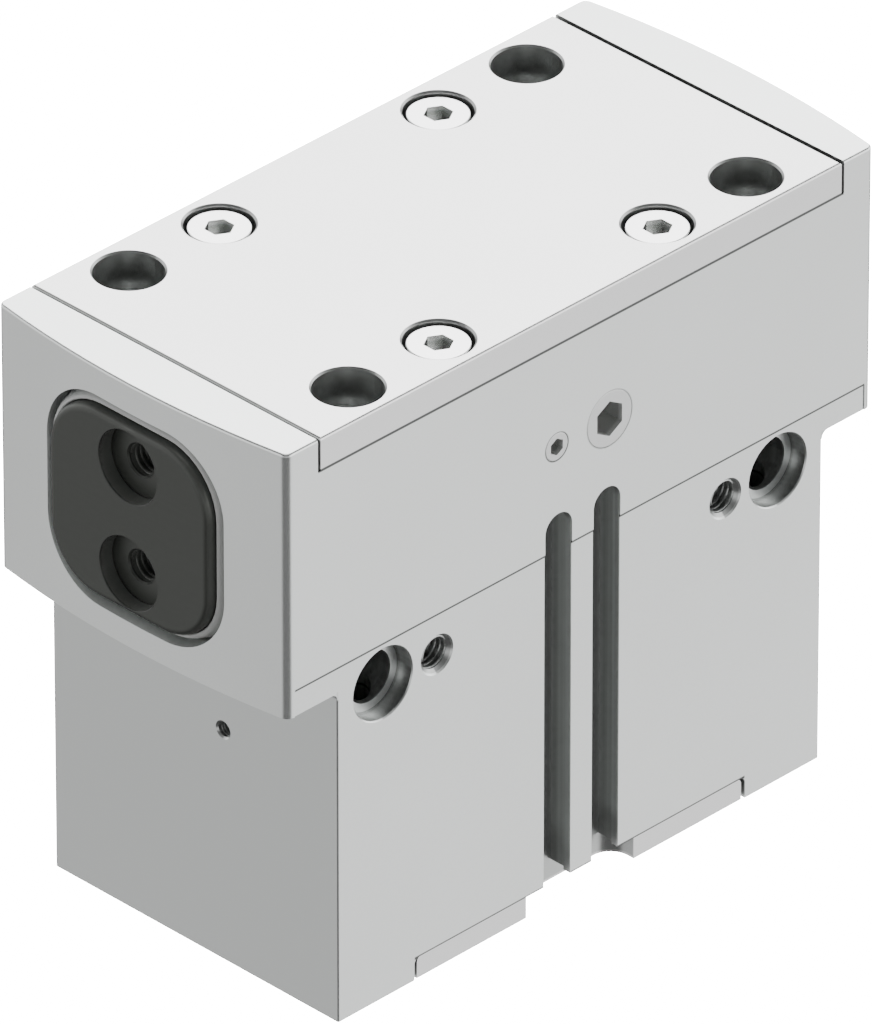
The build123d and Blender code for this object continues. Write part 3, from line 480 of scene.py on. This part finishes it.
# Screw threads
# Cut with a tap: four for the gripper fingers, two in the front, one in each lower end
# and two pipe threads for the air ports in the back. Each ridge is one winding wedge.
JAW_BORE_DEPTH = 2.7 * MM
FRONT_THREAD = (30.2 * MM, -29.85 * MM, 55.0033 * MM)
END_THREAD = (50.75 * MM, -6.0 * MM, 40.4033 * MM)
PORT_FACE = 29.85 * MM
PORT_HEIGHTS = (13.1 * MM, 44.6033 * MM)
THREADS = {  # the ridge's radius, its pitch and how far it reaches
    "coarse_six": (2.6 * MM, 1.0 * MM, 10.5 * MM),
    "fine_three": (1.25 * MM, 0.5 * MM, 6.0 * MM),
    "pipe_eighth": (4.3 * MM, 0.907 * MM, 5.4 * MM),
}
RIDGE_STEPS = 28
RIDGE_SIZE = 0.5
RIDGE_SINK = 0.35
RIDGE_SQUAT = 0.88
JAW_SETBACK = 0.1 * MM
FRONT_SETBACK = 0.05 * MM
END_SETBACK = 0.25 * MM
PORT_SETBACK = 0.4 * MM
WELD = 0.001 * MM


def wind_ridge(kind):
    """The ridge of one kind of thread, winding up from the origin."""
    radius, pitch, length = THREADS[kind]
    size = RIDGE_SIZE * pitch
    bpy.ops.object.select_all(action="DESELECT")
    bpy.ops.mesh.primitive_circle_add(vertices=3, radius=size, fill_type="NOTHING")
    ridge = start_piece(kind)
    flat = Matrix.Rotation(pi / 2, 4, "X") @ Matrix.Rotation(pi / 2, 4, "Z")
    squat = Matrix.Diagonal((RIDGE_SQUAT, 1, 1, 1))
    out = Matrix.Translation((radius + RIDGE_SINK * pitch - 0.5 * RIDGE_SQUAT * size, 0, 0))
    ridge.data.transform(out @ squat @ flat)
    winding = ridge.modifiers.new("winding", "SCREW")
    winding.axis = "Z"
    winding.angle = 2 * pi
    winding.screw_offset = pitch
    winding.iterations = int(length / pitch)
    winding.steps = RIDGE_STEPS
    winding.render_steps = RIDGE_STEPS
    bpy.ops.object.modifier_apply(modifier=winding.name)
    bpy.ops.object.mode_set(mode="EDIT")
    bpy.ops.mesh.select_all(action="SELECT")
    bpy.ops.mesh.remove_doubles(threshold=WELD)
    bpy.ops.mesh.fill_holes(sides=0)
    bpy.ops.mesh.normals_make_consistent(inside=False)
    bpy.ops.object.mode_set(mode="OBJECT")
    return ridge


def copy_piece(pattern, name):
    """A copy of a piece, with its own mesh."""
    piece = pattern.copy()
    piece.data = pattern.data.copy()
    piece.name = name
    bpy.context.scene.collection.objects.link(piece)
    return piece


def thread_ridge(name, kind, mouth, inward, setback):
    """The ridge of one tapped hole, from a mouth inwards; setback leaves its chamfer free."""
    ridge = copy_piece(ridges[kind], name)
    inward = Vector(inward)
    foot = Vector(mouth) + (setback + RIDGE_SIZE * THREADS[kind][1]) * inward
    ridge.matrix_world = (Matrix.Translation(foot)
                          @ inward.to_track_quat("Z", "Y").to_matrix().to_4x4())
    settle(ridge)
    return ridge


def finish_piece(piece, finish, body):
    """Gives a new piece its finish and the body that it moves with."""
    piece.data.materials.append(finish.material)
    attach(piece, body)


ridges = {kind: wind_ridge(kind) for kind in THREADS}
for side, sign in (("right", 1), ("left", -1)):
    for level, up in (("upper", 1), ("lower", -1)):
        mouth = (sign * (jaw_face_x - JAW_BORE_DEPTH), 0, JAW_AXIS + up * JAW_BORE_SPACING / 2)
        name = f"jaw_thread_{side}_{level}"
        ridge = thread_ridge(name, "coarse_six", mouth, (-sign, 0, 0), JAW_SETBACK)
        finish_piece(ridge, jaw_steel, f"jaw_{side}")
    mouth = (sign * FRONT_THREAD[0], *FRONT_THREAD[1:])
    ridge = thread_ridge(f"front_thread_{side}", "coarse_six", mouth, (0, 1, 0), FRONT_SETBACK)
    finish_piece(ridge, anodised_housing, "base")
    mouth = (sign * END_THREAD[0], *END_THREAD[1:])
    ridge = thread_ridge(f"end_thread_{side}", "fine_three", mouth, (-sign, 0, 0), END_SETBACK)
    finish_piece(ridge, anodised_housing, "base")
for level, port_height in zip(("lower", "upper"), PORT_HEIGHTS):
    mouth = (0, PORT_FACE, port_height)
    ridge = thread_ridge(f"port_thread_{level}", "pipe_eighth", mouth, (0, -1, 0), PORT_SETBACK)
    finish_piece(ridge, anodised_housing, "base")
for pattern in ridges.values():
    bpy.data.objects.remove(pattern)


# Wipers
# Moulded polyurethane lip rings, satin and mid grey, pressed into the openings. The lip
# flares from the wall to a rounded edge that wipes the jaw clean as it moves.
LIP_GREY = (0.54, 0.55, 0.54)
LIP_ROUGHNESS = 0.38
LIP_RELIEF = 0.06
LIP_GRAIN_DEPTH = 0.01 * MM
LIP_STEPS = 10
SMOOTH_BELOW = radians(40)
JAW_HALF_WIDTH = 16.6 * MM
JAW_HALF_HEIGHT = 16.1 * MM
JAW_CORNER = 9.7 * MM
# The lip's section in millimetres: the gap from the jaw, and the place along the jaw's travel.
LIP_SECTION = [(0.15, 58.8), (0.15, 62.20), (0.21, 62.44), (0.36, 62.54), (0.56, 62.50), (0.80, 62.32),
               (1.04, 61.98), (1.24, 61.52), (1.39, 61.00), (1.48, 60.40), (1.52, 59.80), (1.74, 59.80),
               (1.74, 58.8)]
QUARTER_ROUND = 0.5523

lip_plastic = Finish("lip_plastic", base_color=LIP_GREY, roughness=LIP_ROUGHNESS)
lip_plastic.bump(lip_plastic.noise(BLAST_GRAIN), LIP_RELIEF, LIP_GRAIN_DEPTH)


def rounded_track(name, half_width, half_height, corner):
    """A closed curve: a rectangle with round corners, in the plane of x and y."""
    track = bpy.data.curves.new(name, "CURVE")
    track.dimensions = "2D"
    track.fill_mode = "NONE"
    track.resolution_u = LIP_STEPS
    spline = track.splines.new("BEZIER")
    spline.bezier_points.add(7)
    spline.use_cyclic_u = True
    reach = QUARTER_ROUND * corner
    for i, (sx, sy) in enumerate(((1, 1), (-1, 1), (-1, -1), (1, -1))):
        side_end = Vector((sx * half_width, sy * (half_height - corner), 0))
        top_end = Vector((sx * (half_width - corner), sy * half_height, 0))
        first, second = (side_end, top_end) if i % 2 == 0 else (top_end, side_end)
        peak = Vector((sx * half_width, sy * half_height, 0))
        for step, (at, way) in enumerate(((first, 1), (second, -1))):
            point = spline.bezier_points[2 * i + step]
            point.co = at
            toward = way * reach * (peak - at).normalized()
            point.handle_left_type = point.handle_right_type = "FREE"
            point.handle_right = at + toward
            point.handle_left = at - toward
    return track


section = bpy.data.curves.new("lip_section", "CURVE")
section.dimensions = "2D"
outline = section.splines.new("POLY")
outline.points.add(len(LIP_SECTION) - 1)
outline.use_cyclic_u = True
for point, (gap, along) in zip(outline.points, LIP_SECTION):
    point.co = (-gap * MM, along * MM, 0, 1)
section_object = bpy.data.objects.new("lip_section", section)
bpy.context.scene.collection.objects.link(section_object)
track = rounded_track("lip_track", JAW_HALF_WIDTH, JAW_HALF_HEIGHT, JAW_CORNER)
track.bevel_mode = "OBJECT"
track.bevel_object = section_object
flat_lip = bpy.data.objects.new("flat_lip", track)
bpy.context.scene.collection.objects.link(flat_lip)
bpy.ops.object.select_all(action="DESELECT")
flat_lip.select_set(True)
bpy.context.view_layer.objects.active = flat_lip
bpy.ops.object.convert(target="MESH")
flat_lip = bpy.context.object
bpy.data.objects.remove(section_object)
bpy.ops.object.mode_set(mode="EDIT")
bpy.ops.mesh.select_all(action="SELECT")
bpy.ops.mesh.remove_doubles(threshold=WELD)
bpy.ops.mesh.normals_make_consistent(inside=False)
bpy.ops.object.mode_set(mode="OBJECT")
bpy.ops.object.shade_smooth_by_angle(angle=SMOOTH_BELOW)
for side, sign in (("right", 1), ("left", -1)):
    lip = copy_piece(flat_lip, f"wiper_lip_{side}")
    upright = Matrix(((0, 0, sign, 0), (sign, 0, 0, 0), (0, 1, 0, JAW_AXIS), (0, 0, 0, 1)))
    lip.data.transform(upright)
    finish_piece(lip, lip_plastic, "base")
    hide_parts(f"jaw_wiper_{side}")
bpy.data.objects.remove(flat_lip)
dress(lip_plastic, "jaw_wiper_right", "jaw_wiper_left")


# Cover screws and plugs
# Cold headed steel screws with a bright zinc plating, sunk in counterbores of the cover. The
# plug and the set screw in the front are turned, plated duller and screwed in flush.
SCREW_BRIGHT = (0.97, 0.97, 0.97)
PLUG_GREY = (0.74, 0.748, 0.743)
SUNK_SHADE_GREY = (0.50, 0.51, 0.50)
SCREW_ROUGHNESS = 0.24
PLUG_ROUGHNESS = 0.40
PLUG_METAL_SHARE = 0.6
SCREW_RECESS = 0.6 * MM

bright_steel = ground_steel("bright_screw_steel", SCREW_BRIGHT, SCREW_ROUGHNESS)
# Painted shade: the sockets and the sides of the screw heads sunk in the counterbores are darker.
sunk_shade = (height - SCREW_RECESS - bright_steel.z).ramp(SKIN, 3 * SKIN)
sunk_shade = sunk_shade * bright_steel.z.ramp(plate_low.z, plate_low.z + MM)
bright_steel.set(base_color=sunk_shade.mix(SCREW_BRIGHT, SUNK_SHADE_GREY))
dress(bright_steel, "top_cover_screws", "bottom_cover_screws")

plug_steel = ground_steel("plug_steel", PLUG_GREY, PLUG_ROUGHNESS, PLUG_METAL_SHARE)
# Painted shade: the sockets of the plug and set screw are darker.
sunk_shade = (half_depth + plug_steel.y).ramp(SKIN, 3 * SKIN)
plug_steel.set(base_color=sunk_shade.mix(PLUG_GREY, SUNK_SHADE_GREY))
dress(plug_steel, "purge_plug", "lube_set_screw")


# Inner parts
# Pieces that only show when the gripper is opened: a hard chromed rod, a turned alloy
# piston, bronze guides, ground pins, a milled hook, moulded seals and rubber bumpers. Each
# finish has its colour, its share of metal, its roughness and the pieces that it covers.
INNER = {
    "ground_pin_steel": ((0.55, 0.56, 0.57), 1.0, 0.3,
                         ("cover_dowel_pins", "seal_retaining_ring", "wedge_pin", "piston_screw")),
    "hook_steel": ((0.20, 0.20, 0.21), 1.0, 0.35, ("wedge_hook",)),
    "rod_chrome": ((0.70, 0.70, 0.71), 1.0, 0.12, ("piston_rod",)),
    "turned_alloy": ((0.60, 0.61, 0.62), 1.0, 0.35, ("piston", "piston_clamp_disc", "cylinder_cap")),
    "bearing_bronze": ((0.45, 0.31, 0.14), 1.0, 0.4, ("rod_bush", "guide_liner_right", "guide_liner_left")),
    "magnet_grey": ((0.12, 0.12, 0.13), 0.6, 0.6, ("piston_magnet",)),
    "guide_plastic": ((0.10, 0.11, 0.10), 0.0, 0.5, ("piston_guide_ring",)),
    "black_rubber": ((0.02, 0.02, 0.02), 0.0, 0.7,
                     ("top_cover_seal", "cylinder_cap_o_ring", "lower_bumper", "upper_bumper",
                      "rod_seal", "jaw_seal_ring_right", "jaw_seal_ring_left",
                      "piston_seal_lower", "piston_seal_upper")),
}
for name, (colour, metallic, roughness, members) in INNER.items():
    dress(ground_steel(name, colour, roughness, metallic), *members)
